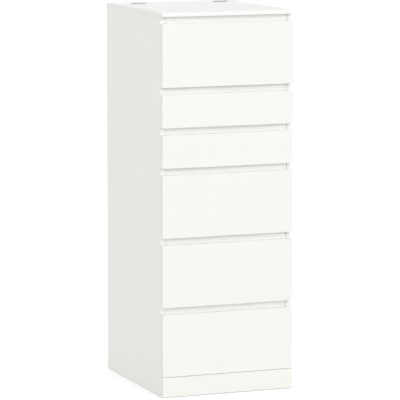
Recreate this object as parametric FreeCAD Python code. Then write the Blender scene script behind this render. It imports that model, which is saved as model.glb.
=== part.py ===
import FreeCAD, Part
import os

# Tall chest of six drawers with a flip-up mirror lid.
# Frame: origin on the floor under the middle of the chest, +Z up, the drawers
# open towards -Y, +X to the right of someone who faces the fronts.
# All sizes are in millimetres.

# Overall size
WIDTH = 428.0
DEPTH = 510.0
HEIGHT = 1180.0

# Levels
BIG_PITCH = 214.5
SMALL_PITCH = 123.0
LID_T = 12.0
PITCHES = [SMALL_PITCH if n in (2, 3) else BIG_PITCH for n in range(1, 7)]
SIDE_TOP = HEIGHT - LID_T

# Boards
SIDE_T = 12.0
FRONT_T = 18.0
FRONT_GAP = 1.0
PLINTH_GAP = 1.0
RAIL_T = 15.0
RAIL_W = 60.0
RAIL_DROP = 10.0
GLIDE_T = 2.0
GLIDE_LENGTH = 30.0
GLIDE_INSET = 12.0
GLIDE_EDGE = 1.0
BACK_T = 3.0
BACK_INSET = 10.0
GROOVE_PLAY = 0.1
GROOVE_DEPTH = 6.0
SHADOW_LINE = 1.0

# Grip along the top of each drawer front
GRIP_H = 21.0
LEDGE_T = 10.0
LIP_SETBACK = 21.0
LIP_BACK = 33.0
GROOVE_H = 4.0
LIP_SIDE_GAP = 1.0
LIP_TOP_GAP = 1.2
LIP_FOOT = 8.0
LIP_CLEARANCE = 3.0
GROOVE_END_PLAY = 0.5

# Drawer boxes
RUNNER_SPACE = 12.5
BOX_T = 12.0
BOX_LENGTH = 440.0
BOX_LIFT = 15.2
BIG_BOX_H = 165.0
SMALL_BOX_H = 78.0
TOP_BOX_H = 130.0
BOTTOM_T = 3.0
BOTTOM_LIFT = 10.0
BACK_DROP = 8.0

# Runners with rollers
METAL_T = 1.2
TRACK_LIFT = 12.0
TRACK_H = 23.0
FLANGE_W = 10.5
TRACK_START = 38.0
TRACK_LENGTH = 420.0
ROLLER_R = 10.0
ROLLER_W = 7.2
ROLLER_PLAY = 0.3
PIN_R = 2.5
PIN_FIT = 0.05
PIN_HEAD_R = 3.6
PIN_HEAD_T = 0.6
PIN_HEAD_PLAY = 0.3
ROLLER_CHAMFER = 0.8
FRONT_ROLLER_PLAY = 0.9
REAR_ROLLER_PLAY = 1.2
SLIDE_WEB_T = 1.0
FLANGE_PLAY = 1.0
FLANGE_START = 4.0
FRONT_ROLLER_Y = 50.0
REAR_ROLLER_Y = 440.0
DRAWER_FLANGE_END = 454.0

# Lid, mirror and hinges
STRIP_DEPTH = 92.0
LID_JOINT = 1.5
MIRROR_W = 350.0
MIRROR_D = 310.0
MIRROR_T = 3.0
MIRROR_SETBACK = 60.0
HINGE_X = 138.0
HINGE_LENGTH = 46.0
KNUCKLES = 5
KNUCKLE_R = 3.0
KNUCKLE_PLAY = 0.4
HINGE_PIN_R = 1.25
LEAF_T = 1.2
LEAF_GAP = 0.15
LEAF_DROP = 10.5
HINGE_RECESS_PLAY = 0.4

# Compartment under the lid
TRAY_FLOOR_TOP = 1122.0
TRAY_FLOOR_T = 12.0
TRAY_RAIL_TOP = 1160.0

# Fixings
WALL_HOLE_R = 2.75
WALL_HOLE_X = 150.0
WALL_HOLE_Z = 1140.0
CAM_R = 7.5
CAM_DEPTH = 10.0
CAM_INSET = 24.0
DOWEL_R = 3.0
DOWEL_IN_EDGE = 20.0
DOWEL_IN_FACE = 8.0
PLINTH_DOWEL_LEVELS = (17.0, 47.0)

# Places worked out from the sizes above
FRONT = -DEPTH / 2
REAR = DEPTH / 2
INNER = WIDTH / 2 - SIDE_T
SIDE_FRONT = FRONT + FRONT_T + FRONT_GAP
BACK_FACE = REAR - BACK_INSET
BACK_FRONT = BACK_FACE - BACK_T
RAIL_FRONT = BACK_FRONT - RAIL_T
INSIDE_FRONT = FRONT + LIP_BACK + LIP_CLEARANCE
BOX_OUT = INNER - RUNNER_SPACE
BOX_IN = BOX_OUT - BOX_T
BOX_START = FRONT + LIP_BACK
BOX_END = BOX_START + BOX_LENGTH
HINGE_Y = REAR - STRIP_DEPTH
TRACK_WEB_IN = INNER - METAL_T
SLIDE_WEB = BOX_OUT + SLIDE_WEB_T
RAIL_DRAWERS = (3, 4, 5)


def box(x0, x1, y0, y1, z0, z1):
    return Part.makeBox(x1 - x0, y1 - y0, z1 - z0, FreeCAD.Vector(x0, y0, z0))


def side_box(side, x_in, x_out, y0, y1, z0, z1):
    """A box on the right (side 1) or left (side -1), x measured from the middle plane."""
    low, high = sorted((side * x_in, side * x_out))
    return box(low, high, y0, y1, z0, z1)


def cylinder(start, axis, radius, length):
    return Part.makeCylinder(radius, length, FreeCAD.Vector(*start), FreeCAD.Vector(*axis))


def tube_x(x0, x1, y, z, radius):
    low, high = sorted((x0, x1))
    return cylinder((low, y, z), (1, 0, 0), radius, high - low)


def fused(shapes):
    return shapes[0].multiFuse(shapes[1:]).removeSplitter()


def save(node, *solids):
    """Write one node, a single solid or a group of separate solids."""
    shape = solids[0] if len(solids) == 1 else Part.makeCompound(list(solids))
    shape.exportStep("parts/" + node + ".step")


def drawer_level(number):
    """Height of the lower edge of a drawer front, number 1 at the top."""
    return SIDE_TOP - sum(PITCHES[:number])


def box_height(number):
    if number == 1:
        return TOP_BOX_H
    return SMALL_BOX_H if PITCHES[number - 1] == SMALL_PITCH else BIG_BOX_H


# Fixings -------------------------------------------------------------------

def strip_dowels():
    """Upright dowels that join the fixed top strip to the side panels."""
    dowels = []
    for side in (-1, 1):
        x = side * (WIDTH / 2 - SIDE_T / 2)
        for y in (HINGE_Y + STRIP_DEPTH / 4, REAR - STRIP_DEPTH / 4):
            start = (x, y, SIDE_TOP - DOWEL_IN_EDGE)
            dowels.append(cylinder(start, (0, 0, 1), DOWEL_R, DOWEL_IN_EDGE + DOWEL_IN_FACE))
    return dowels


def plinth_dowels():
    """Level dowels that join the plinth to the front edges of the side panels."""
    dowels = []
    for side in (-1, 1):
        x = side * (WIDTH / 2 - SIDE_T / 2)
        for z in PLINTH_DOWEL_LEVELS:
            start = (x, SIDE_FRONT - DOWEL_IN_FACE, z)
            dowels.append(cylinder(start, (0, 1, 0), DOWEL_R, DOWEL_IN_FACE + DOWEL_IN_EDGE))
    return dowels


def rail_cams():
    """Cam locks at both ends of the front rails (from below) and the back rails (from the front)."""
    cams = []
    for side in (-1, 1):
        x = side * (INNER - CAM_INSET)
        for number in RAIL_DRAWERS:
            z = rail_bottom(number)
            y = INSIDE_FRONT + RAIL_W / 2
            cams.append(cylinder((x, y, z), (0, 0, 1), CAM_R, CAM_DEPTH))
        for z in (plinth_top() / 2, (TRAY_FLOOR_TOP + SIDE_TOP) / 2):
            cams.append(cylinder((x, RAIL_FRONT, z), (0, 1, 0), CAM_R, CAM_DEPTH))
    return cams


def wall_holes():
    """Drilling for the two wall screws, through the upper back rail and the back panel."""
    length = BACK_FACE - RAIL_FRONT
    return [cylinder((side * WALL_HOLE_X, RAIL_FRONT, WALL_HOLE_Z), (0, 1, 0), WALL_HOLE_R, length)
            for side in (-1, 1)]


# Carcass -------------------------------------------------------------------

def side_panel(side):
    panel = side_box(side, INNER, WIDTH / 2, SIDE_FRONT, REAR, GLIDE_T, SIDE_TOP)
    groove = side_box(side, INNER, INNER + GROOVE_DEPTH, BACK_FRONT - GROOVE_PLAY,
                      BACK_FACE + GROOVE_PLAY, GLIDE_T, SIDE_TOP)
    top_edges = [edge for edge in panel.Edges
                 if edge.BoundBox.ZMin > SIDE_TOP - SHADOW_LINE
                 and edge.BoundBox.YLength > SIDE_T
                 and abs(edge.BoundBox.XMin) > INNER + SIDE_T / 2]
    panel = panel.makeChamfer(SHADOW_LINE, top_edges)
    return panel.cut(groove).cut(Part.makeCompound(strip_dowels() + plinth_dowels()))


def back_panel():
    reach = INNER + GROOVE_DEPTH - GROOVE_END_PLAY
    panel = box(-reach, reach, BACK_FRONT, BACK_FACE, GLIDE_T, SIDE_TOP)
    return panel.cut(Part.makeCompound(wall_holes()))


def plinth_top():
    return drawer_level(6) - PLINTH_GAP


def plinth():
    board = box(-WIDTH / 2, WIDTH / 2, FRONT, SIDE_FRONT, GLIDE_T, plinth_top())
    return board.cut(Part.makeCompound(plinth_dowels()))


def base_rear_rail():
    rail = box(-INNER, INNER, RAIL_FRONT, BACK_FRONT, GLIDE_T, plinth_top())
    return rail.cut(Part.makeCompound(rail_cams()))


def rail_bottom(number):
    return drawer_level(number) - RAIL_DROP


def front_cross_rails():
    """Flat rails under three of the drawers, which hold the side panels at one distance."""
    cams = Part.makeCompound(rail_cams())
    rails = []
    for number in RAIL_DRAWERS:
        z = rail_bottom(number)
        rail = box(-INNER, INNER, INSIDE_FRONT, INSIDE_FRONT + RAIL_W, z, z + RAIL_T)
        rails.append(rail.cut(cams))
    return rails


def upper_back_rail():
    rail = box(-INNER, INNER, RAIL_FRONT, BACK_FRONT, TRAY_FLOOR_TOP - TRAY_FLOOR_T, SIDE_TOP)
    return rail.cut(Part.makeCompound(wall_holes() + rail_cams()))


def tray_floor():
    return box(-INNER, INNER, INSIDE_FRONT, RAIL_FRONT, TRAY_FLOOR_TOP - TRAY_FLOOR_T, TRAY_FLOOR_TOP)


def tray_front_rail():
    return box(-INNER, INNER, INSIDE_FRONT, INSIDE_FRONT + TRAY_FLOOR_T, TRAY_FLOOR_TOP, TRAY_RAIL_TOP)


def glides():
    """Four thin plastic glides under the side panels."""
    pads = []
    for side in (-1, 1):
        for y in (SIDE_FRONT + GLIDE_INSET, REAR - GLIDE_INSET - GLIDE_LENGTH):
            pads.append(side_box(side, INNER + GLIDE_EDGE, WIDTH / 2 - GLIDE_EDGE, y, y + GLIDE_LENGTH,
                                 0.0, GLIDE_T))
    return pads


# Hinges --------------------------------------------------------------------

def knuckle_spans(x_middle, first):
    """Ends of every second knuckle of a hinge, starting with knuckle number first."""
    step = HINGE_LENGTH / KNUCKLES
    start = x_middle - HINGE_LENGTH / 2
    return [(start + k * step + KNUCKLE_PLAY / 2, start + (k + 1) * step - KNUCKLE_PLAY / 2)
            for k in range(first, KNUCKLES, 2)]


def hinge_leaf(x_middle, leaf_side, first, bore_r):
    """One leaf with its knuckles. leaf_side is -1 on the lid and 1 on the fixed strip."""
    low, high = sorted((leaf_side * LEAF_GAP, leaf_side * (LEAF_GAP + LEAF_T)))
    half = HINGE_LENGTH / 2
    plate_top = HEIGHT - KNUCKLE_R - KNUCKLE_PLAY
    pieces = [box(x_middle - half, x_middle + half, HINGE_Y + low, HINGE_Y + high,
                  HEIGHT - LEAF_DROP, plate_top)]
    for x0, x1 in knuckle_spans(x_middle, first):
        pieces.append(box(x0, x1, HINGE_Y + low, HINGE_Y + high, plate_top, HEIGHT))
        pieces.append(tube_x(x0, x1, HINGE_Y, HEIGHT, KNUCKLE_R))
    bore = tube_x(x_middle - half, x_middle + half, HINGE_Y, HEIGHT, bore_r)
    return fused(pieces).cut(bore)


def hinge_pin(x_middle):
    half = HINGE_LENGTH / 2
    return tube_x(x_middle - half, x_middle + half, HINGE_Y, HEIGHT, HINGE_PIN_R)


def hinge_recess(x_middle):
    """Room for the leaves and the lower half of the knuckles, cut from both boards."""
    half = HINGE_LENGTH / 2 + HINGE_RECESS_PLAY
    radius = KNUCKLE_R + HINGE_RECESS_PLAY
    depth = LEAF_T + LEAF_GAP
    leaves = box(x_middle - half, x_middle + half, HINGE_Y - depth, HINGE_Y + depth,
                 HEIGHT - LEAF_DROP, HEIGHT)
    barrel = tube_x(x_middle - half, x_middle + half, HINGE_Y, HEIGHT, radius)
    return leaves.fuse(barrel)


def hinge_recesses():
    return Part.makeCompound([hinge_recess(side * HINGE_X) for side in (-1, 1)])


# Top -----------------------------------------------------------------------

def top_rear_strip():
    strip = box(-WIDTH / 2, WIDTH / 2, HINGE_Y + LID_JOINT / 2, REAR, SIDE_TOP, HEIGHT)
    return strip.cut(hinge_recesses()).cut(Part.makeCompound(strip_dowels()))


def lid_panel():
    lid = box(-WIDTH / 2, WIDTH / 2, FRONT, HINGE_Y - LID_JOINT / 2, SIDE_TOP, HEIGHT)
    return lid.cut(hinge_recesses())


def mirror():
    y = FRONT + MIRROR_SETBACK
    return box(-MIRROR_W / 2, MIRROR_W / 2, y, y + MIRROR_D, SIDE_TOP - MIRROR_T, SIDE_TOP)


# Runners -------------------------------------------------------------------

def track_floor(number):
    """Height of the running surface inside the fixed runner."""
    return drawer_level(number) + TRACK_LIFT


def roller_height(number):
    return track_floor(number) + ROLLER_PLAY + ROLLER_R


def fixed_runner(side, number):
    """C-shaped runner on a side panel, open towards the drawer, with the front roller's pin."""
    z = track_floor(number)
    y0 = FRONT + TRACK_START
    y1 = y0 + TRACK_LENGTH
    x_lip = INNER - FLANGE_W
    web = side_box(side, TRACK_WEB_IN, INNER, y0, y1, z - METAL_T, z + TRACK_H + METAL_T)
    lower = side_box(side, x_lip, TRACK_WEB_IN, y0, y1, z - METAL_T, z)
    upper = side_box(side, x_lip, TRACK_WEB_IN, y0, y1, z + TRACK_H, z + TRACK_H + METAL_T)
    y_pin = FRONT + FRONT_ROLLER_Y
    x_head = front_roller_span()[0] - PIN_HEAD_PLAY
    pin = tube_x(side * TRACK_WEB_IN, side * x_head, y_pin, roller_height(number), PIN_R)
    head = tube_x(side * x_head, side * (x_head - PIN_HEAD_T), y_pin, roller_height(number), PIN_HEAD_R)
    return fused([web, lower, upper, pin, head])


def front_roller_span():
    """Inner and outer x of a front roller, next to the web of the fixed runner."""
    outer = TRACK_WEB_IN - FRONT_ROLLER_PLAY
    return outer - ROLLER_W, outer


def rear_roller_span():
    """Inner and outer x of a rear roller, next to the web of the drawer runner."""
    inner = SLIDE_WEB + REAR_ROLLER_PLAY
    return inner, inner + ROLLER_W


def drawer_runner(side, number):
    """Profile under the lower edge of a drawer side, with the rear roller's pin."""
    z = track_floor(number)
    z_box = drawer_level(number) + BOX_LIFT
    z_run = z + 2 * ROLLER_PLAY + 2 * ROLLER_R
    y1 = FRONT + DRAWER_FLANGE_END
    web = side_box(side, BOX_OUT, SLIDE_WEB, BOX_START, y1, z_box - METAL_T, z_run + METAL_T)
    sole = side_box(side, BOX_IN, BOX_OUT, BOX_START, y1, z_box - METAL_T, z_box)
    run = side_box(side, SLIDE_WEB, TRACK_WEB_IN - FLANGE_PLAY, BOX_START + FLANGE_START, y1,
                   z_run, z_run + METAL_T)
    y_pin = FRONT + REAR_ROLLER_Y
    x_head = rear_roller_span()[1] + PIN_HEAD_PLAY
    pin = tube_x(side * SLIDE_WEB, side * x_head, y_pin, roller_height(number), PIN_R)
    head = tube_x(side * x_head, side * (x_head + PIN_HEAD_T), y_pin, roller_height(number), PIN_HEAD_R)
    return fused([web, sole, run, pin, head])


def roller(side, span, y, z):
    disc = tube_x(side * span[0], side * span[1], y, z, ROLLER_R)
    bore = tube_x(side * span[0], side * span[1], y, z, PIN_R + PIN_FIT)
    rims = [edge for edge in disc.Edges if edge.Closed and edge.BoundBox.XLength < ROLLER_CHAMFER]
    disc = disc.makeChamfer(ROLLER_CHAMFER, rims)
    return disc.cut(bore)


def front_rollers(number):
    return [roller(side, front_roller_span(), FRONT + FRONT_ROLLER_Y, roller_height(number))
            for side in (-1, 1)]


def rear_rollers(number):
    return [roller(side, rear_roller_span(), FRONT + REAR_ROLLER_Y, roller_height(number))
            for side in (-1, 1)]


# Drawers -------------------------------------------------------------------

def drawer_front(number):
    """Face board with a finger ledge along its top and the narrower lip that rises behind it."""
    z0 = drawer_level(number)
    z1 = z0 + PITCHES[number - 1]
    ledge = z1 - GRIP_H
    lip_half = INNER - LIP_SIDE_GAP
    z_slot = z0 + BOX_LIFT + BOTTOM_LIFT
    face = box(-WIDTH / 2, WIDTH / 2, FRONT, FRONT + FRONT_T, z0, ledge)
    lip = box(-lip_half, lip_half, FRONT + FRONT_T, FRONT + LIP_BACK, z0 + LIP_FOOT, z1 - LIP_TOP_GAP)
    groove = box(-lip_half, lip_half, FRONT + LEDGE_T, FRONT + LIP_SETBACK, ledge - GROOVE_H, z1)
    slot = box(-BOX_IN - GROOVE_DEPTH, BOX_IN + GROOVE_DEPTH, FRONT + LIP_BACK - GROOVE_DEPTH,
               FRONT + LIP_BACK, z_slot, z_slot + BOTTOM_T + 2 * GROOVE_PLAY)
    return fused([face, lip]).cut(groove).cut(slot)


def drawer_side(side, number):
    z0 = drawer_level(number) + BOX_LIFT
    z_slot = z0 + BOTTOM_LIFT
    board = side_box(side, BOX_IN, BOX_OUT, BOX_START, BOX_END, z0, z0 + box_height(number))
    slot = side_box(side, BOX_IN, BOX_IN + GROOVE_DEPTH, BOX_START, BOX_END,
                    z_slot, z_slot + BOTTOM_T + 2 * GROOVE_PLAY)
    return board.cut(slot)


def drawer_back(number):
    z0 = drawer_level(number) + BOX_LIFT
    z_low = z0 + BOTTOM_LIFT + BOTTOM_T + GROOVE_PLAY
    return box(-BOX_IN, BOX_IN, BOX_END - BOX_T, BOX_END, z_low, z0 + box_height(number) - BACK_DROP)


def drawer_bottom(number):
    z0 = drawer_level(number) + BOX_LIFT + BOTTOM_LIFT + GROOVE_PLAY
    reach = BOX_IN + GROOVE_DEPTH - GROOVE_END_PLAY
    y0 = FRONT + LIP_BACK - GROOVE_DEPTH + GROOVE_END_PLAY
    return box(-reach, reach, y0, BOX_END, z0, z0 + BOTTOM_T)


def save_drawer(number):
    name = "drawer_%d_" % number
    save(name + "front", drawer_front(number))
    save(name + "sides", *[drawer_side(side, number) for side in (-1, 1)])
    save(name + "back", drawer_back(number))
    save(name + "bottom", drawer_bottom(number))
    save(name + "runners", *[drawer_runner(side, number) for side in (-1, 1)])
    save(name + "front_rollers", *front_rollers(number))
    save(name + "rear_rollers", *rear_rollers(number))


def save_carcass():
    save("left_side_panel", side_panel(-1))
    save("right_side_panel", side_panel(1))
    save("back_panel", back_panel())
    save("plinth", plinth())
    save("base_rear_rail", base_rear_rail())
    save("front_cross_rails", *front_cross_rails())
    save("upper_back_rail", upper_back_rail())
    save("tray_floor", tray_floor())
    save("tray_front_rail", tray_front_rail())
    save("top_rear_strip", top_rear_strip())
    save("left_fixed_runners", *[fixed_runner(-1, number) for number in range(1, 7)])
    save("right_fixed_runners", *[fixed_runner(1, number) for number in range(1, 7)])
    save("glides", *glides())
    save("cam_locks_and_dowels", *(rail_cams() + strip_dowels() + plinth_dowels()))


def save_lid():
    leaves = [hinge_leaf(side * HINGE_X, -1, 1, HINGE_PIN_R + PIN_FIT) for side in (-1, 1)]
    fixed = [hinge_leaf(side * HINGE_X, 1, 0, HINGE_PIN_R) for side in (-1, 1)]
    pins = [hinge_pin(side * HINGE_X) for side in (-1, 1)]
    save("lid_panel", lid_panel())
    save("mirror", mirror())
    save("lid_hinge_leaves", *leaves)
    save("fixed_hinge_leaves", *(fixed + pins))


os.makedirs("parts", exist_ok=True)
save_carcass()
save_lid()
for drawer in range(1, 7):
    save_drawer(drawer)
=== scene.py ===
import math

import bmesh
import bpy
from mathutils import Matrix, Vector


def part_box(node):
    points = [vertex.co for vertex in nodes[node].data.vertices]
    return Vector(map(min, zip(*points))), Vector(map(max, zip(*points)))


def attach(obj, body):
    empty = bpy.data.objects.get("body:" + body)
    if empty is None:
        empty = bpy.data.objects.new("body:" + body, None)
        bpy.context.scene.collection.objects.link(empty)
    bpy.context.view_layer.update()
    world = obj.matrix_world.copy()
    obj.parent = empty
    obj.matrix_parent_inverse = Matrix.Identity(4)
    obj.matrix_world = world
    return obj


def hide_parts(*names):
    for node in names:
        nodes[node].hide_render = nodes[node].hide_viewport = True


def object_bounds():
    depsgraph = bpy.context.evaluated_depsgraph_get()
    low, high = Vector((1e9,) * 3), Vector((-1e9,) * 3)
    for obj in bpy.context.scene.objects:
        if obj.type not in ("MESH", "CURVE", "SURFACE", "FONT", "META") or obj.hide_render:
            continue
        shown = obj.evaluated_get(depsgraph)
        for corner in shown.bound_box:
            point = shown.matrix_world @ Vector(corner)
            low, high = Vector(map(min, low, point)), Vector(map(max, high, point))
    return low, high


# Tall chest of six drawers with a flip-up mirror lid. Metres, +Z up, the drawers open towards -Y.

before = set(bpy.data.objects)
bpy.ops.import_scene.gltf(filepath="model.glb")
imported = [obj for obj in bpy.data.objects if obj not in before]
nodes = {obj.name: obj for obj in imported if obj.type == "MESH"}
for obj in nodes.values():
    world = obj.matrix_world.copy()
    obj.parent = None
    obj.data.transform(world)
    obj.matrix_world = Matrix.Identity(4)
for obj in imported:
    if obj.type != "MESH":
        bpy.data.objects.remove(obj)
cad_low, cad_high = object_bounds()
DRAWERS = range(1, 7)
SIDES = (-1, 1)

NOISE_LOW, NOISE_HIGH = 0.3, 0.7  # where most of a noise lies
SQUARE = 0.9  # cosine above which a surface counts as facing a direction

# Colours, as linear RGB
FOIL = (0.858, 0.863, 0.836)
SIDE_FOIL = (0.860, 0.867, 0.822)
# Lip and ledge foil: a whiter copy of the front foil, painted light that brightens the shaded grip recess
LIP_PAINTED_LIGHT_FOIL = (0.900, 0.900, 0.885)
EDGE_BAND = (0.895, 0.895, 0.880)
INNER_FOIL = (0.80, 0.80, 0.78)
HARDBOARD = (0.30, 0.19, 0.105)
EPOXY = (0.80, 0.80, 0.79)
NYLON = (0.74, 0.74, 0.70)
ZINC = (0.63, 0.63, 0.64)
NICKEL = (0.50, 0.50, 0.51)
SILVER = (0.68, 0.70, 0.70)
GLASS_EDGE = (0.40, 0.58, 0.52)
RAW_BIRCH = (0.66, 0.50, 0.33)
RUBBER = (0.55, 0.55, 0.53)
CAP_WHITE = (0.90, 0.90, 0.885)
FLOOR = (0.97, 0.97, 0.97)

# Light. The bright band's foot and top are heights on the unit sphere, where it fades in and out.
BAND_LEVEL = 1.477
BAND_SLANT = (0.206, -0.338, 0.0)
BAND_FOOT = (-0.06, -0.035)
BAND_TOP = (0.52, 0.88)
ZENITH_SHARE = 0.15
LOWER_LEVEL = 0.52
OVERHEAD = 0.15
OVERHEAD_SPREAD = 30.0
FLOOR_WASH = 1.20
FILL = 10.0
FILL_SIZE = 1.6
FILL_PLACE = (-1.2, -3.0, 2.2)
FILL_TARGET = (0.0, 0.0, 1.0)
FLOOR_REACH = 400.0

# Camera, with its angles in degrees and its lens in millimetres
CAMERA_PLACE = (-3.137, -8.114, 1.770)
CAMERA_DOWN = 7.855
CAMERA_TURN = -21.173
CAMERA_LENS = 251.2
SENSOR_WIDTH = 36.0

# Edges and round shapes
EDGE_R = 0.0009
WELD_REACH = 0.00001
SMOOTH_BELOW = math.radians(35)
ROUND_ABOVE = math.radians(40)
TURN_STEPS = 24

# Sizes of the small pieces
CAP_W = 0.0100
CAP_WALL = 0.0004
CAP_R = 0.0005
BUMPER_R = 0.0045
BUMPER_H = 0.0009
BUMPER_FROM_FOOT = 0.025
BUMPER_FROM_LEDGE = 0.015
SCREW_R = 0.0032
SCREW_H = 0.0006
CAM_R = 0.0072
CAM_H = 0.0004
NAIL_R = 0.0022
NAIL_H = 0.0005
NAIL_PLACES = (-0.180, -0.060, 0.060, 0.180)
LEAF_SCREW_R = 0.0024
LEAF_SCREW_H = 0.00012
LEAF_SCREW_STEP = 0.016
LEAF_SCREW_LIFT = 0.0035
MIRROR_BEVEL = 0.0120
MIRROR_RIM = 0.0012
CLIP_W = 0.0160
CLIP_LENGTH = 0.0120
CLIP_OVERLAP = 0.0045
CLIP_T = 0.0010
CLIP_R = 0.0004
CLIP_PLAY = 0.0005
CLIP_INSET = 0.055
CLIP_SCREW_OUT = 0.0070
HUB_RING = (0.0062, 0.0078)
HUB_H = 0.00022
HUB_STEPS = 36
HUB_RIBS = 6
RIB_INSET = 0.0009
RIB_LENGTH = 0.0022
RIB_W = 0.0008

# Lid hinges: middle of each, and the gap between its two leaves' faces and the axis
HINGE_X = 0.138
HINGE_Y = 0.163
LEAF_GAP = 0.00015

# Drawer fronts: depths from the face of the front, drops from the top of the lip
FRONT_Y = cad_low.y
FRONT_T = 0.0180
LIP_END = 0.2010
LIP_FACE = 0.0210
LIP_BACK = 0.0330
LEDGE_DROP = 0.0198
LEDGE_DEPTH = 0.005
GROOVE_DROP = 0.0238
TOLERANCE = 0.0002

# Side panels, drawer boxes and runners: distances from the middle of the chest
INNER_X = -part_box("left_side_panel")[1].x
BOX_IN = 0.1775
BOX_OUT = 0.1895
SLIDE_WEB = 0.1905
TRACK_WEB = 0.2008
ROLLER_W = 0.0072

# Cam locks in the rails and in the drawer boxes
CAM_X = 0.178
RAIL_CAM_Y = 0.066
RAIL_DROP = 0.010
RAIL_DRAWERS = (3, 4, 5)
UPPER_CAM_Z = 1.145
BOX_CAM_Y = 0.024

# Screws through the drawer backs, the drawer runners and the fixed runners
BACK_SCREW_DROP = 0.018
BACK_SCREW_INSET = 0.006
SLIDE_SCREW_INSET = 0.045
SLIDE_SCREW_LIFT = 0.010
TRACK_SCREW_FRONT = 0.040
TRACK_SCREW_REAR = 0.060
TRACK_SCREW_LIFT = 0.0165


# Material nodes --------------------------------------------------------------

def new_material(name):
    material = bpy.data.materials.new(name)
    material.use_nodes = True
    tree = material.node_tree
    return material, tree, tree.nodes["Principled BSDF"]


def coordinates(tree, scale=(1.0, 1.0, 1.0)):
    """Object coordinates in metres, stretched by scale."""
    coords = tree.nodes.new("ShaderNodeTexCoord")
    mapping = tree.nodes.new("ShaderNodeMapping")
    mapping.inputs["Scale"].default_value = scale
    tree.links.new(coords.outputs["Object"], mapping.inputs["Vector"])
    return mapping.outputs["Vector"]


def noise(tree, vector, scale, detail, roughness=0.5):
    node = tree.nodes.new("ShaderNodeTexNoise")
    node.inputs["Scale"].default_value = scale
    node.inputs["Detail"].default_value = detail
    node.inputs["Roughness"].default_value = roughness
    tree.links.new(vector, node.inputs["Vector"])
    return node.outputs["Fac"]


def shade(colour, factor):
    return tuple(channel * factor for channel in colour)


def ramp(tree, fac, *stops):
    """Colour ramp with stops of (position, colour)."""
    node = tree.nodes.new("ShaderNodeValToRGB")
    elements = node.color_ramp.elements
    while len(elements) < len(stops):
        elements.new(0.5)
    for element, (position, colour) in zip(elements, stops):
        element.position = position
        element.color = (*colour, 1.0)
    tree.links.new(fac, node.inputs["Fac"])
    return node.outputs["Color"]


def set_colour(tree, shader, fac, colour, darkest):
    """Base colour that goes by a noise from colour times darkest up to colour."""
    varied = ramp(tree, fac, (NOISE_LOW, shade(colour, darkest)), (NOISE_HIGH, colour))
    tree.links.new(varied, shader.inputs["Base Color"])


def set_roughness(tree, shader, fac, low, high):
    """Roughness that goes by a noise from low to high."""
    node = tree.nodes.new("ShaderNodeMapRange")
    node.inputs["From Min"].default_value = NOISE_LOW
    node.inputs["From Max"].default_value = NOISE_HIGH
    node.inputs["To Min"].default_value = low
    node.inputs["To Max"].default_value = high
    tree.links.new(fac, node.inputs["Value"])
    tree.links.new(node.outputs["Result"], shader.inputs["Roughness"])


def mix(tree, fac, first, second):
    node = tree.nodes.new("ShaderNodeMix")
    node.data_type = "RGBA"
    tree.links.new(fac, node.inputs["Factor"])
    tree.links.new(first, node.inputs["A"])
    tree.links.new(second, node.inputs["B"])
    return node.outputs["Result"]


def bump(tree, shader, height, strength, distance):
    node = tree.nodes.new("ShaderNodeBump")
    node.inputs["Strength"].default_value = strength
    node.inputs["Distance"].default_value = distance
    tree.links.new(height, node.inputs["Height"])
    tree.links.new(node.outputs["Normal"], shader.inputs["Normal"])


def facing(tree, direction):
    """1 where the surface faces along direction, such as (0, 1, 0), and 0 elsewhere."""
    coords = tree.nodes.new("ShaderNodeTexCoord")
    dot = tree.nodes.new("ShaderNodeVectorMath")
    dot.operation = "DOT_PRODUCT"
    dot.inputs[1].default_value = direction
    step = tree.nodes.new("ShaderNodeMath")
    step.operation = "GREATER_THAN"
    step.inputs[1].default_value = SQUARE
    tree.links.new(coords.outputs["Normal"], dot.inputs[0])
    tree.links.new(dot.outputs["Value"], step.inputs[0])
    return step.outputs["Value"]


# Materials -------------------------------------------------------------------

def foil_colour(tree, colour):
    """White foil: broad, very faint clouding and fine flecks."""
    cloud = noise(tree, coordinates(tree), scale=6.0, detail=4.0)
    clouded = ramp(tree, cloud, (0.35, shade(colour, 0.985)), (0.65, colour))
    fleck = noise(tree, coordinates(tree), scale=900.0, detail=2.0)
    flecked = ramp(tree, fleck, (0.30, shade(colour, 0.955)), (0.42, colour))
    return mix(tree, cloud, clouded, flecked)


def fibre_colour(tree):
    """Raw back of thin hardboard: pressed fibres with darker specks."""
    fibres = noise(tree, coordinates(tree, (1.0, 1.0, 0.25)), scale=700.0, detail=6.0, roughness=0.7)
    return ramp(tree, fibres, (0.30, shade(HARDBOARD, 0.7)), (0.55, HARDBOARD),
                (0.72, shade(HARDBOARD, 1.3)))


def band_colour(tree):
    """Edge band: a slightly cleaner white than the foil, with fine streaks along it."""
    streaks = noise(tree, coordinates(tree, (0.15, 1.0, 1.0)), scale=700.0, detail=3.0)
    return ramp(tree, streaks, (0.30, shade(EDGE_BAND, 0.98)), (0.65, EDGE_BAND))


def board_material(name, colour, roughness, other=None):
    """Foil-faced board. other is (direction, colour maker) for a side with another surface."""
    material, tree, shader = new_material(name)
    base = foil_colour(tree, colour)
    if other:
        direction, make_colour = other
        base = mix(tree, facing(tree, direction), base, make_colour(tree))
    tree.links.new(base, shader.inputs["Base Color"])
    smudge = noise(tree, coordinates(tree), scale=14.0, detail=5.0, roughness=0.6)
    set_roughness(tree, shader, smudge, roughness - 0.05, roughness + 0.05)
    peel = noise(tree, coordinates(tree), scale=520.0, detail=2.0)
    bump(tree, shader, peel, strength=0.12, distance=0.0002)
    return material


def metal_material(name, colour, roughness, metallic, brushed=(1.0, 1.0, 1.0)):
    material, tree, shader = new_material(name)
    shader.inputs["Metallic"].default_value = metallic
    streaks = noise(tree, coordinates(tree, brushed), scale=800.0, detail=4.0, roughness=0.6)
    set_colour(tree, shader, streaks, colour, 0.86)
    set_roughness(tree, shader, streaks, roughness - 0.07, roughness + 0.07)
    bump(tree, shader, streaks, strength=0.08, distance=0.0001)
    return material


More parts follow.
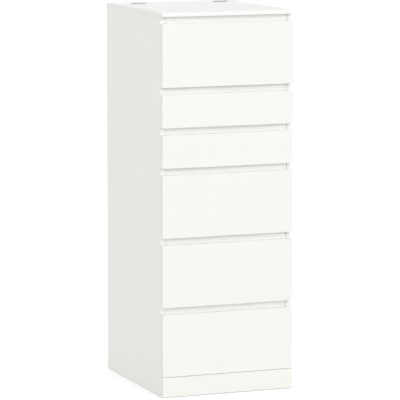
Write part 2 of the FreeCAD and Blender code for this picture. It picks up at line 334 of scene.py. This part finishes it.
def plastic_material(name, colour, roughness, subsurface=0.0):
    material, tree, shader = new_material(name)
    shader.inputs["Subsurface Weight"].default_value = subsurface
    shader.inputs["Subsurface Scale"].default_value = 0.002
    mottle = noise(tree, coordinates(tree), scale=260.0, detail=4.0)
    set_colour(tree, shader, mottle, colour, 0.93)
    set_roughness(tree, shader, mottle, roughness - 0.06, roughness + 0.06)
    pores = noise(tree, coordinates(tree), scale=1500.0, detail=2.0)
    bump(tree, shader, pores, strength=0.05, distance=0.0001)
    return material


def mirror_material():
    material, tree, shader = new_material("mirror_silver")
    shader.inputs["Metallic"].default_value = 1.0
    haze = noise(tree, coordinates(tree), scale=30.0, detail=5.0, roughness=0.6)
    set_colour(tree, shader, haze, SILVER, 0.98)
    set_roughness(tree, shader, haze, 0.015, 0.035)
    return material


def wood_material(name, colour):
    """Bare wood with fine long grain."""
    material, tree, shader = new_material(name)
    grain = noise(tree, coordinates(tree, (1.0, 1.0, 0.12)), scale=900.0, detail=6.0, roughness=0.65)
    set_colour(tree, shader, grain, colour, 0.75)
    set_roughness(tree, shader, grain, 0.65, 0.8)
    bump(tree, shader, grain, strength=0.2, distance=0.0002)
    return material


def floor_material():
    material, tree, shader = new_material("studio_floor")
    dust = noise(tree, coordinates(tree), scale=3.0, detail=4.0)
    set_colour(tree, shader, dust, FLOOR, 0.99)
    shader.inputs["Roughness"].default_value = 0.9
    return material


DOWN, FORWARD, BACKWARD = (0.0, 0.0, -1.0), (0.0, -1.0, 0.0), (0.0, 1.0, 0.0)
white_foil = board_material("white_foil", FOIL, roughness=0.38)
lid_foil = board_material("lid_foil_banded_front", FOIL, roughness=0.38, other=(FORWARD, band_colour))
panel_foil = board_material("panel_foil_banded_underneath", SIDE_FOIL, roughness=0.38,
                            other=(DOWN, band_colour))
# Whiter foil for the recessed lip and ledge: painted light against the shade of the grip
lip_painted_light_foil = board_material("lip_painted_light_foil", LIP_PAINTED_LIGHT_FOIL, roughness=0.40)
inner_foil = board_material("inner_foil", INNER_FOIL, roughness=0.55)
drawer_floor = board_material("drawer_floor_board", INNER_FOIL, roughness=0.50, other=(DOWN, fibre_colour))
back_board = board_material("back_board", INNER_FOIL, roughness=0.50, other=(BACKWARD, fibre_colour))
epoxy_steel = metal_material("white_epoxy_steel", EPOXY, roughness=0.35, metallic=0.0)
zinc = metal_material("dull_zinc", ZINC, roughness=0.42, metallic=0.9)
nickel = metal_material("satin_nickel", NICKEL, roughness=0.36, metallic=0.9, brushed=(0.1, 1.0, 1.0))
nylon = plastic_material("nylon", NYLON, roughness=0.42, subsurface=0.1)
glide_plastic = plastic_material("glide_plastic", shade(NYLON, 0.85), roughness=0.5)
glass_edge = plastic_material("polished_glass_edge", GLASS_EDGE, roughness=0.12)
silver = mirror_material()
rubber = plastic_material("clear_rubber", RUBBER, roughness=0.3, subsurface=0.3)
cap_plastic = plastic_material("white_cap_plastic", CAP_WHITE, roughness=0.36, subsurface=0.05)

NODE_MATERIALS = {
    "left_side_panel": panel_foil,
    "right_side_panel": panel_foil,
    "plinth": panel_foil,
    "lid_panel": lid_foil,
    "top_rear_strip": white_foil,
    "back_panel": back_board,
    "base_rear_rail": inner_foil,
    "front_cross_rails": inner_foil,
    "upper_back_rail": inner_foil,
    "tray_floor": inner_foil,
    "tray_front_rail": inner_foil,
    "left_fixed_runners": epoxy_steel,
    "right_fixed_runners": epoxy_steel,
    "glides": glide_plastic,
    "cam_locks_and_dowels": zinc,
    "lid_hinge_leaves": nickel,
    "fixed_hinge_leaves": nickel,
    "mirror": silver,
}
DRAWER_MATERIALS = {
    "front": white_foil,
    "sides": inner_foil,
    "back": inner_foil,
    "bottom": drawer_floor,
    "runners": epoxy_steel,
    "front_rollers": nylon,
    "rear_rollers": nylon,
}
ROUNDED = ("left_side_panel", "right_side_panel", "plinth", "lid_panel", "top_rear_strip",
           "base_rear_rail", "front_cross_rails", "upper_back_rail", "tray_floor", "tray_front_rail")


# Shapes ----------------------------------------------------------------------

def piece(name, bm, material, body):
    """A new object that rides on a body and takes its finish from a slot."""
    obj = bpy.data.objects.new(name, mesh_from(name, bm))
    bpy.context.scene.collection.objects.link(obj)
    obj.data.materials.append(material)
    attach(obj, body)
    return obj


def mesh_from(name, bm):
    """Makes bm a mesh that is shaded smooth, apart from its sharper edges."""
    data = bpy.data.meshes.new(name)
    bmesh.ops.recalc_face_normals(bm, faces=bm.faces)
    for face in bm.faces:
        face.smooth = True
    for edge in bm.edges:
        edge.smooth = edge.is_manifold and edge.calc_face_angle() < SMOOTH_BELOW
    bm.to_mesh(data)
    bm.free()
    return data


def add_block(bm, low, high, radius):
    """A block with rounded edges, added to bm."""
    low, high = Vector(low), Vector(high)
    made = bmesh.ops.create_cube(bm, size=1.0)["verts"]
    size, middle = high - low, (high + low) / 2
    for vert in made:
        vert.co = Vector(vert.co[i] * size[i] + middle[i] for i in range(3))
    edges = list({edge for vert in made for edge in vert.link_edges})
    bmesh.ops.bevel(bm, geom=edges, offset=radius, segments=2, profile=0.5, affect="EDGES")


def standing(place, axis):
    """The matrix that takes a shape that stands on the origin along +Z to place, along axis."""
    turn = Vector((0, 0, 1)).rotation_difference(Vector(axis)).to_matrix().to_4x4()
    return Matrix.Translation(Vector(place)) @ turn


def add_ring(bm, matrix, ring):
    """Vertices round the axis. ring is a list of (radius, height)."""
    angles = (2 * math.pi * k / len(ring) for k in range(len(ring)))
    return [bm.verts.new(matrix @ Vector((radius * math.cos(angle), radius * math.sin(angle), height)))
            for angle, (radius, height) in zip(angles, ring)]


def join_rings(bm, below, above):
    for k in range(len(below)):
        after = (k + 1) % len(below)
        bm.faces.new((below[k], below[after], above[after], above[k]))


def add_stack(bm, place, axis, rings):
    """Skins a stack of rings from place along axis, and closes its two ends."""
    matrix = standing(place, axis)
    skin = [add_ring(bm, matrix, ring) for ring in rings]
    for below, above in zip(skin, skin[1:]):
        join_rings(bm, below, above)
    bm.faces.new(skin[0][::-1])
    bm.faces.new(skin[-1])


def add_turned(bm, place, axis, profile):
    """A turned shape. profile is (radius, height) from its foot to its top."""
    add_stack(bm, place, axis, [[point] * TURN_STEPS for point in profile])


def add_cross_head(bm, place, axis, radius, height):
    """A round head with a cross recess, standing on place."""
    floor = height * 0.25
    arm, notch = (radius * 0.56, floor), (radius * 0.15, floor)
    cross = [notch if k % (TURN_STEPS // 4) else arm for k in range(TURN_STEPS)]
    profile = ((radius, 0.0), (radius * 0.96, height * 0.7), (radius * 0.86, height), (radius * 0.62, height))
    add_stack(bm, place, axis, [[point] * TURN_STEPS for point in profile] + [cross])


def add_hub(bm, place, axis):
    """Raised ring and ribs on the face of a roller."""
    inner, outer = HUB_RING
    matrix = standing(place, axis)
    profile = ((inner, 0.0), (inner + HUB_H, HUB_H), (outer - HUB_H, HUB_H), (outer, 0.0))
    loops = [add_ring(bm, matrix, [point] * HUB_STEPS) for point in profile]
    for first, second in zip(loops, loops[1:] + loops[:1]):
        join_rings(bm, first, second)
    for rib in range(HUB_RIBS):
        spin = Matrix.Rotation(2 * math.pi * rib / HUB_RIBS, 4, "Z")
        for vert in bmesh.ops.create_cube(bm, size=1.0)["verts"]:
            x, y, z = vert.co
            spot = Vector((inner - RIB_INSET + x * RIB_LENGTH, y * RIB_W, (z + 0.5) * HUB_H))
            vert.co = matrix @ spin @ spot


# CAD nodes -------------------------------------------------------------------

def round_edges(obj):
    weld = obj.modifiers.new("weld", "WELD")
    weld.merge_threshold = WELD_REACH
    bevel = obj.modifiers.new("edge_rounding", "BEVEL")
    bevel.width = EDGE_R
    bevel.segments = 3
    bevel.limit_method = "ANGLE"
    bevel.angle_limit = ROUND_ABOVE


def finish_node(name, material):
    obj = nodes[name]
    obj.data.materials.clear()
    obj.data.materials.append(material)
    for polygon in obj.data.polygons:
        polygon.material_index = 0


for node_name, node_material in NODE_MATERIALS.items():
    finish_node(node_name, node_material)
for number in DRAWERS:
    for part, part_material in DRAWER_MATERIALS.items():
        finish_node(f"drawer_{number}_{part}", part_material)
    round_edges(nodes[f"drawer_{number}_front"])
for node_name in ROUNDED:
    round_edges(nodes[node_name])


# The lip and the finger ledge have a whiter foil than the face of a front: painted light that lightens the
# shade in the recessed grip.
for number in DRAWERS:
    front = nodes[f"drawer_{number}_front"]
    front.data.materials.append(lip_painted_light_foil)
    ledge_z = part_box(front.name)[1].z - LEDGE_DROP
    for polygon in front.data.polygons:
        on_lip = polygon.center.y > FRONT_Y + LIP_FACE - TOLERANCE
        ledge_high = ledge_z - LEDGE_DEPTH < polygon.center.z < ledge_z + TOLERANCE
        on_ledge = polygon.normal.z > SQUARE and ledge_high
        if on_lip or on_ledge:
            polygon.material_index = 1

# Dowels share a node with the cam locks, and are the solids inside the side panels.
birch = wood_material("birch_dowel", RAW_BIRCH)
fixings = nodes["cam_locks_and_dowels"]
fixings.data.materials.append(birch)
for polygon in fixings.data.polygons:
    if abs(polygon.center.x) > INNER_X:
        polygon.material_index = 1


# Pieces ----------------------------------------------------------------------

def grip_caps(number):
    """Plastic caps over both ends of the lip above the finger ledge."""
    bm = bmesh.new()
    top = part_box(f"drawer_{number}_front")[1].z
    for side in SIDES:
        x0, x1 = sorted((side * (LIP_END - CAP_W), side * (LIP_END + CAP_WALL)))
        add_block(bm, (x0, FRONT_Y + LIP_FACE - CAP_WALL, top - GROOVE_DROP),
                  (x1, FRONT_Y + LIP_BACK + CAP_WALL, top + CAP_WALL), CAP_R)
    piece(f"drawer_{number}_grip_caps", bm, cap_plastic, f"drawer_{number}")


def bumpers(number):
    """Soft pads behind the four corners of a front, where it meets the side panels."""
    bm = bmesh.new()
    low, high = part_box(f"drawer_{number}_front")
    x = (INNER_X + high.x) / 2
    for side in SIDES:
        for z in (low.z + BUMPER_FROM_FOOT, high.z - LEDGE_DROP - BUMPER_FROM_LEDGE):
            add_turned(bm, (side * x, FRONT_Y + FRONT_T, z), (0, 1, 0),
                       [(BUMPER_R, 0.0), (BUMPER_R, BUMPER_H * 0.5), (BUMPER_R * 0.9, BUMPER_H * 0.85),
                        (BUMPER_R * 0.6, BUMPER_H)])
    piece(f"drawer_{number}_bumpers", bm, rubber, f"drawer_{number}")


def drawer_fittings(number):
    """Cam locks behind the front, screws into the back, and screws through the runners."""
    bm = bmesh.new()
    low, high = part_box(f"drawer_{number}_sides")
    run_low, run_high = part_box(f"drawer_{number}_runners")
    z_middle = (low.z + high.z) / 2
    reach = (high.z - low.z) / 4
    for side in SIDES:
        for z in (z_middle - reach, z_middle + reach):
            add_cross_head(bm, (side * BOX_IN, low.y + BOX_CAM_Y, z), (-side, 0, 0), CAM_R, CAM_H)
        for z in (z_middle, high.z - BACK_SCREW_DROP):
            place = (side * BOX_OUT, high.y - BACK_SCREW_INSET, z)
            add_cross_head(bm, place, (side, 0, 0), SCREW_R, SCREW_H)
        for y in (low.y + SLIDE_SCREW_INSET, (low.y + high.y) / 2, run_high.y - SLIDE_SCREW_INSET):
            place = (side * SLIDE_WEB, y, run_low.z + SLIDE_SCREW_LIFT)
            add_cross_head(bm, place, (side, 0, 0), SCREW_R, SCREW_H)
    piece(f"drawer_{number}_fittings", bm, zinc, f"drawer_{number}")


def roller_hubs(number, end):
    """Ring and ribs on both faces of the two rollers at one end of a drawer."""
    body = f"drawer_{number}_{end}_rollers"
    bm = bmesh.new()
    low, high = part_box(body)
    y, z = (low.y + high.y) / 2, (low.z + high.z) / 2
    for side in SIDES:
        for x, direction in ((high.x, side), (high.x - ROLLER_W, -side)):
            add_hub(bm, (side * x, y, z), (direction, 0, 0))
    piece(body.replace("rollers", "roller_hubs"), bm, nylon, body)


def carcass_fittings():
    """Screws through the fixed runners, cam faces in the rails, and nails through the back panel."""
    bm = bmesh.new()
    track_low, track_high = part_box("left_fixed_runners")
    track_ys = (track_low.y + TRACK_SCREW_FRONT, (track_low.y + track_high.y) / 2,
                track_high.y - TRACK_SCREW_REAR)
    for number in DRAWERS:
        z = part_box(f"drawer_{number}_front_rollers")[0].z + TRACK_SCREW_LIFT
        for side in SIDES:
            for y in track_ys:
                add_cross_head(bm, (side * TRACK_WEB, y, z), (-side, 0, 0), SCREW_R, SCREW_H)
    for centre, axis in cam_places():
        add_cross_head(bm, centre, axis, CAM_R, CAM_H)
    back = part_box("back_panel")[1]
    for rail in ("base_rear_rail", "upper_back_rail"):
        low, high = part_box(rail)
        for x in NAIL_PLACES:
            add_turned(bm, (x, back.y, (low.z + high.z) / 2), (0, 1, 0),
                       [(NAIL_R, 0.0), (NAIL_R * 0.9, NAIL_H * 0.7), (NAIL_R * 0.55, NAIL_H)])
    piece("carcass_fittings", bm, zinc, "carcass")


def cam_places():
    """Middle of each rail cam's visible face, and the direction in which it faces."""
    places = []
    for side in SIDES:
        for number in RAIL_DRAWERS:
            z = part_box(f"drawer_{number}_front")[0].z - RAIL_DROP
            places.append(((side * CAM_X, FRONT_Y + RAIL_CAM_Y, z), (0, 0, -1)))
        for rail, z in (("base_rear_rail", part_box("plinth")[1].z / 2), ("upper_back_rail", UPPER_CAM_Z)):
            places.append(((side * CAM_X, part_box(rail)[0].y, z), (0, -1, 0)))
    return places


def hinge_screws():
    """Flush screws in the four hinge leaves, seen when the lid is up."""
    for leaves, body, facing_y in (("lid_hinge_leaves", "lid", 1), ("fixed_hinge_leaves", "carcass", -1)):
        bm = bmesh.new()
        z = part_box(leaves)[0].z + LEAF_SCREW_LIFT
        for side in SIDES:
            for step in (-LEAF_SCREW_STEP, 0.0, LEAF_SCREW_STEP):
                place = (side * HINGE_X + step, HINGE_Y - facing_y * LEAF_GAP, z)
                add_cross_head(bm, place, (0, facing_y, 0), LEAF_SCREW_R, LEAF_SCREW_H)
        piece(leaves.replace("leaves", "screws"), bm, zinc, body)


def mirror_glass():
    """Mirror with a wide polished bevel round its face, which looks down when the lid is shut."""
    low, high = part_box("mirror")
    bm = bmesh.new()
    levels = ((high.z, 0.0), (high.z - MIRROR_RIM, 0.0), (low.z, MIRROR_BEVEL))
    rings = [[bm.verts.new((x, y, z)) for x, y in (
        (low.x + inset, low.y + inset), (high.x - inset, low.y + inset),
        (high.x - inset, high.y - inset), (low.x + inset, high.y - inset))] for z, inset in levels]
    for first, second in zip(rings, rings[1:]):
        for k in range(4):
            face = bm.faces.new((first[k], first[(k + 1) % 4], second[(k + 1) % 4], second[k]))
            face.material_index = 1 if first is rings[0] else 0
    bm.faces.new(rings[0])
    bm.faces.new(rings[-1][::-1])
    glass = piece("mirror_glass", bm, silver, "lid")
    glass.data.materials.append(glass_edge)
    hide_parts("mirror")


def mirror_clips():
    """Four small clips that hold the mirror to the lid, with a screw each."""
    low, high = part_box("mirror")
    clips, screws = bmesh.new(), bmesh.new()
    for side in SIDES:
        x = side * (high.x - CLIP_INSET)
        for edge, outward in ((low.y, -1), (high.y, 1)):
            outer = edge + outward * CLIP_LENGTH
            y0, y1 = sorted((edge - outward * CLIP_OVERLAP, outer))
            add_block(clips, (x - CLIP_W / 2, y0, low.z - CLIP_T), (x + CLIP_W / 2, y1, low.z), CLIP_R)
            y0, y1 = sorted((edge + outward * CLIP_PLAY, outer))
            add_block(clips, (x - CLIP_W / 2, y0, low.z - CLIP_R), (x + CLIP_W / 2, y1, high.z), CLIP_R)
            screw_place = (x, edge + outward * CLIP_SCREW_OUT, low.z - CLIP_T)
            add_cross_head(screws, screw_place, (0, 0, -1), SCREW_R, SCREW_H)
    piece("mirror_clips", clips, cap_plastic, "lid")
    piece("mirror_clip_screws", screws, zinc, "lid")


for drawer in DRAWERS:
    grip_caps(drawer)
    bumpers(drawer)
    drawer_fittings(drawer)
    for end in ("front", "rear"):
        roller_hubs(drawer, end)
carcass_fittings()
hinge_screws()
mirror_glass()
mirror_clips()


# Studio ----------------------------------------------------------------------

def build_floor():
    """Pale floor that throws no diffuse light back at the chest."""
    bm = bmesh.new()
    bm.faces.new([bm.verts.new((x * FLOOR_REACH, y * FLOOR_REACH, 0.0))
                  for x, y in ((-1, -1), (1, -1), (1, 1), (-1, 1))])
    floor = bpy.data.objects.new("studio_floor", mesh_from("studio_floor", bm))
    bpy.context.scene.collection.objects.link(floor)
    floor.data.materials.append(floor_material())
    floor.visible_diffuse = False
    return floor


def world_math(tree, operation, first, second):
    """A Math node. first and second are sockets or numbers."""
    node = tree.nodes.new("ShaderNodeMath")
    node.operation = operation
    for socket, value in zip(node.inputs, (first, second)):
        if isinstance(value, float):
            socket.default_value = value
        else:
            tree.links.new(value, socket)
    return node.outputs["Value"]


def world_step(tree, value, start, end):
    """Goes smoothly from start's result to end's result. Both are (value, result)."""
    node = tree.nodes.new("ShaderNodeMapRange")
    node.interpolation_type = "SMOOTHSTEP"
    node.inputs["From Min"].default_value, node.inputs["To Min"].default_value = start
    node.inputs["From Max"].default_value, node.inputs["To Max"].default_value = end
    tree.links.new(value, node.inputs["Value"])
    return node.outputs["Result"]


def build_world():
    """A bright band all round the horizon, stronger in front and to the right, dim above and below."""
    world = bpy.data.worlds.new("studio")
    world.use_nodes = True
    tree = world.node_tree
    direction = tree.nodes.new("ShaderNodeTexCoord").outputs["Generated"]
    around = tree.nodes.new("ShaderNodeVectorMath")
    around.operation = "DOT_PRODUCT"
    around.inputs[1].default_value = BAND_SLANT
    tree.links.new(direction, around.inputs[0])
    split = tree.nodes.new("ShaderNodeSeparateXYZ")
    tree.links.new(direction, split.inputs["Vector"])
    height = split.outputs["Z"]
    band = world_step(tree, height, (BAND_TOP[0], 1.0), (BAND_TOP[1], ZENITH_SHARE))
    upper = world_math(tree, "MULTIPLY", world_math(tree, "ADD", around.outputs["Value"], BAND_LEVEL), band)
    above = world_step(tree, height, (BAND_FOOT[0], 0.0), (BAND_FOOT[1], 1.0))
    below = world_step(tree, height, (BAND_FOOT[0], LOWER_LEVEL), (BAND_FOOT[1], 0.0))
    strength = world_math(tree, "ADD", world_math(tree, "MULTIPLY", upper, above), below)
    background = tree.nodes["Background"]
    background.inputs["Color"].default_value = (1.0, 1.0, 1.0, 1.0)
    tree.links.new(strength, background.inputs["Strength"])
    bpy.context.scene.world = world


def add_overhead(name, energy, receiver=None):
    """A soft light straight above, for everything or for one object."""
    light = bpy.data.lights.new(name, "SUN")
    light.energy = energy
    light.angle = math.radians(OVERHEAD_SPREAD)
    obj = bpy.data.objects.new(name, light)
    bpy.context.scene.collection.objects.link(obj)
    if receiver:
        only = bpy.data.collections.new(name + "_receivers")
        only.objects.link(receiver)
        obj.light_linking.receiver_collection = only


def add_fill():
    """Soft light above and in front, which falls off towards the floor."""
    light = bpy.data.lights.new("upper_fill", "AREA")
    light.shape = "DISK"
    light.size = FILL_SIZE
    light.energy = FILL
    obj = bpy.data.objects.new("upper_fill", light)
    obj.location = FILL_PLACE
    aim = Vector(FILL_TARGET) - Vector(FILL_PLACE)
    obj.rotation_euler = aim.to_track_quat("-Z", "Y").to_euler()
    obj.visible_camera = False
    bpy.context.scene.collection.objects.link(obj)


def build_lights(floor):
    build_world()
    add_fill()
    add_overhead("overhead", OVERHEAD)
    add_overhead("floor_wash", FLOOR_WASH, floor)


def build_camera():
    """Long lens, to the left of the chest and a little above it."""
    data = bpy.data.cameras.new("camera")
    data.sensor_width = SENSOR_WIDTH
    data.lens = CAMERA_LENS
    camera = bpy.data.objects.new("camera", data)
    camera.location = CAMERA_PLACE
    camera.rotation_euler = (math.radians(90.0 - CAMERA_DOWN), 0.0, math.radians(CAMERA_TURN))
    bpy.context.scene.collection.objects.link(camera)
    bpy.context.scene.camera = camera


build_lights(build_floor())
build_camera()
bpy.context.scene.view_settings.view_transform = "Standard"
